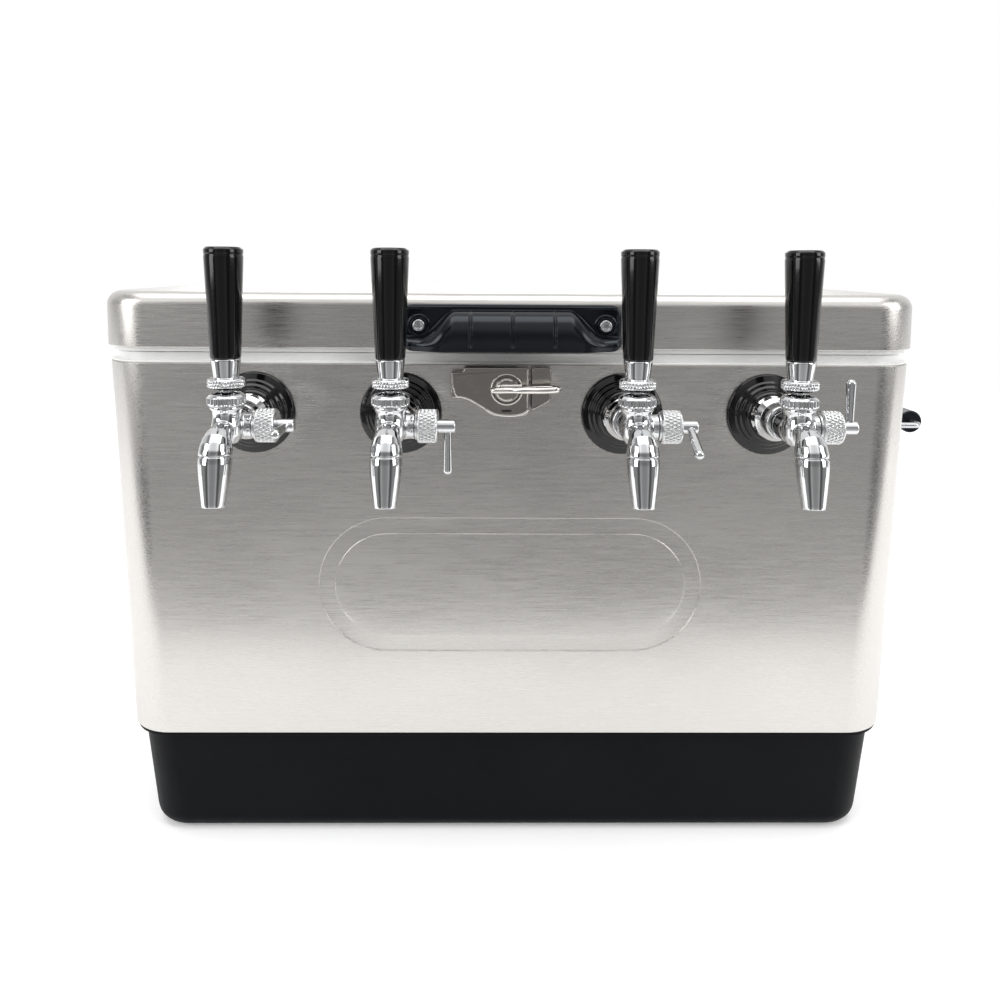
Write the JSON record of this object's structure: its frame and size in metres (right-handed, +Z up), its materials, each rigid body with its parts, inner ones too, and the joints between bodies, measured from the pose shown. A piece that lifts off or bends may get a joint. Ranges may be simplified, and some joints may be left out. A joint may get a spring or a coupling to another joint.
{
  "type": "ice-box beer dispenser",
  "caption": "Insulated steel chest with draught taps on the front, hinged lid, turn latch, cold plate inside, swing handles and a black moulded base.",
  "frame": {"origin": "centre of the underside of the moulded base", "axes": "+Z up, +X along the length to the right of someone facing the taps, -Y towards the taps"},
  "size_m": [0.7315, 0.5392, 0.4695],
  "materials": {
    "brushed_steel": "horizontal brushed grain",
    "white_plastic": "semi gloss",
    "black_base": "fine texture",
    "black_gloss": "gloss",
    "chrome": "mirror polished",
    "dark_steel": "polished",
    "foam": "rigid foam",
    "gasket": "soft",
    "cast_alu": "as cast",
    "tube_steel": "satin tube",
    "zinc": "zinc plated",
    "black_soft": "satin"
  },
  "bodies": {
    "cabinet": {"bail_brackets": "zinc", "base_shoe": "black_base", "bonnet_collars": "chrome", "bracket_screws": "zinc", "cold_plate": "cast_alu", "coupling_nuts": "chrome", "drain_spout": "white_plastic", "faucet_body_1": "chrome", "faucet_body_2": "chrome", "faucet_body_3": "chrome", "faucet_body_4": "chrome", "flow_bonnets": "chrome", "foam_core": "foam", "hinge_body_leaves": "zinc", "hinge_pins": "zinc", "hinge_screws": "zinc", "inlet_bulkheads": "zinc", "inlet_lines": "tube_steel", "inlet_locknuts": "zinc", "inner_liner": "white_plastic", "latch_cover": "dark_steel", "outlet_lines": "tube_steel", "plate_fittings": "zinc", "rim_collar": "white_plastic", "shank_flanges": "black_gloss", "shank_locknuts": "zinc", "shanks": "chrome", "spout_nozzles": "chrome", "steel_shell": "brushed_steel"},
    "lid": {"lid_skin": "brushed_steel", "lid_foam": "foam", "lid_liner": "white_plastic", "lid_gasket": "gasket", "lid_handle": "black_soft", "lid_handle_screws": "zinc", "latch_keeper": "dark_steel", "hinge_lid_leaves": "zinc", "hinge_lid_screws": "zinc"},
    "latch": {"latch_cam": "dark_steel", "latch_thumb_turn": "dark_steel"},
    "tap_lever_1": {"tap_lever_1": "chrome", "tap_handle_1": "black_gloss"},
    "flow_lever_1": {"flow_lever_1": "chrome"},
    "tap_lever_2": {"tap_lever_2": "chrome", "tap_handle_2": "black_gloss"},
    "flow_lever_2": {"flow_lever_2": "chrome"},
    "tap_lever_3": {"tap_lever_3": "chrome", "tap_handle_3": "black_gloss"},
    "flow_lever_3": {"flow_lever_3": "chrome"},
    "tap_lever_4": {"tap_lever_4": "chrome", "tap_handle_4": "black_gloss"},
    "flow_lever_4": {"flow_lever_4": "chrome"},
    "bail_right": {"bail_wire_right": "zinc", "bail_grip_right": "black_soft"},
    "bail_left": {"bail_wire_left": "zinc", "bail_grip_left": "black_soft"},
    "drain_cap": {"drain_cap": "white_plastic"}
  },
  "joints": [
    {"name": "lid_hinge", "type": "hinge", "parent": "cabinet", "child": "lid", "pos_m": [0, 0.2135, 0.393], "axis": [-1, 0, 0], "range_deg": [0, 100]},
    {"name": "latch_turn", "type": "hinge", "parent": "cabinet", "child": "latch", "pos_m": [-0.004, -0.212, 0.366], "axis": [0, 1, 0], "range_deg": [0, 90]},
    {"name": "tap_lever_1_pull", "type": "hinge", "parent": "cabinet", "child": "tap_lever_1", "pos_m": [-0.195, -0.271, 0.3585], "axis": [1, 0, 0], "range_deg": [0, 18]},
    {"name": "flow_lever_1_turn", "type": "hinge", "parent": "cabinet", "child": "flow_lever_1", "pos_m": [-0.195, -0.263, 0.347], "axis": [-1, 0, 0], "range_deg": [-90, 90]},
    {"name": "tap_lever_2_pull", "type": "hinge", "parent": "cabinet", "child": "tap_lever_2", "pos_m": [-0.084, -0.271, 0.3585], "axis": [1, 0, 0], "range_deg": [0, 18]},
    {"name": "flow_lever_2_turn", "type": "hinge", "parent": "cabinet", "child": "flow_lever_2", "pos_m": [-0.084, -0.263, 0.347], "axis": [-1, 0, 0], "range_deg": [0, 180]},
    {"name": "tap_lever_3_pull", "type": "hinge", "parent": "cabinet", "child": "tap_lever_3", "pos_m": [0.084, -0.271, 0.3585], "axis": [1, 0, 0], "range_deg": [0, 18]},
    {"name": "flow_lever_3_turn", "type": "hinge", "parent": "cabinet", "child": "flow_lever_3", "pos_m": [0.084, -0.263, 0.347], "axis": [-1, 0, 0], "range_deg": [-65, 115]},
    {"name": "tap_lever_4_pull", "type": "hinge", "parent": "cabinet", "child": "tap_lever_4", "pos_m": [0.195, -0.271, 0.3585], "axis": [1, 0, 0], "range_deg": [0, 18]},
    {"name": "flow_lever_4_turn", "type": "hinge", "parent": "cabinet", "child": "flow_lever_4", "pos_m": [0.195, -0.263, 0.347], "axis": [-1, 0, 0], "range_deg": [-180, 0]},
    {"name": "bail_right_swing", "type": "hinge", "parent": "cabinet", "child": "bail_right", "pos_m": [0.32156, 0, 0.313], "axis": [0, 1, 0], "range_deg": [-83, 83]},
    {"name": "bail_left_swing", "type": "hinge", "parent": "cabinet", "child": "bail_left", "pos_m": [-0.32156, 0, 0.313], "axis": [0, 1, 0], "range_deg": [0, 166]},
    {"name": "drain_cap_unscrew", "type": "slide", "parent": "cabinet", "child": "drain_cap", "axis": [-1, 0, 0], "range_m": [0, 0.025]}
  ]
}
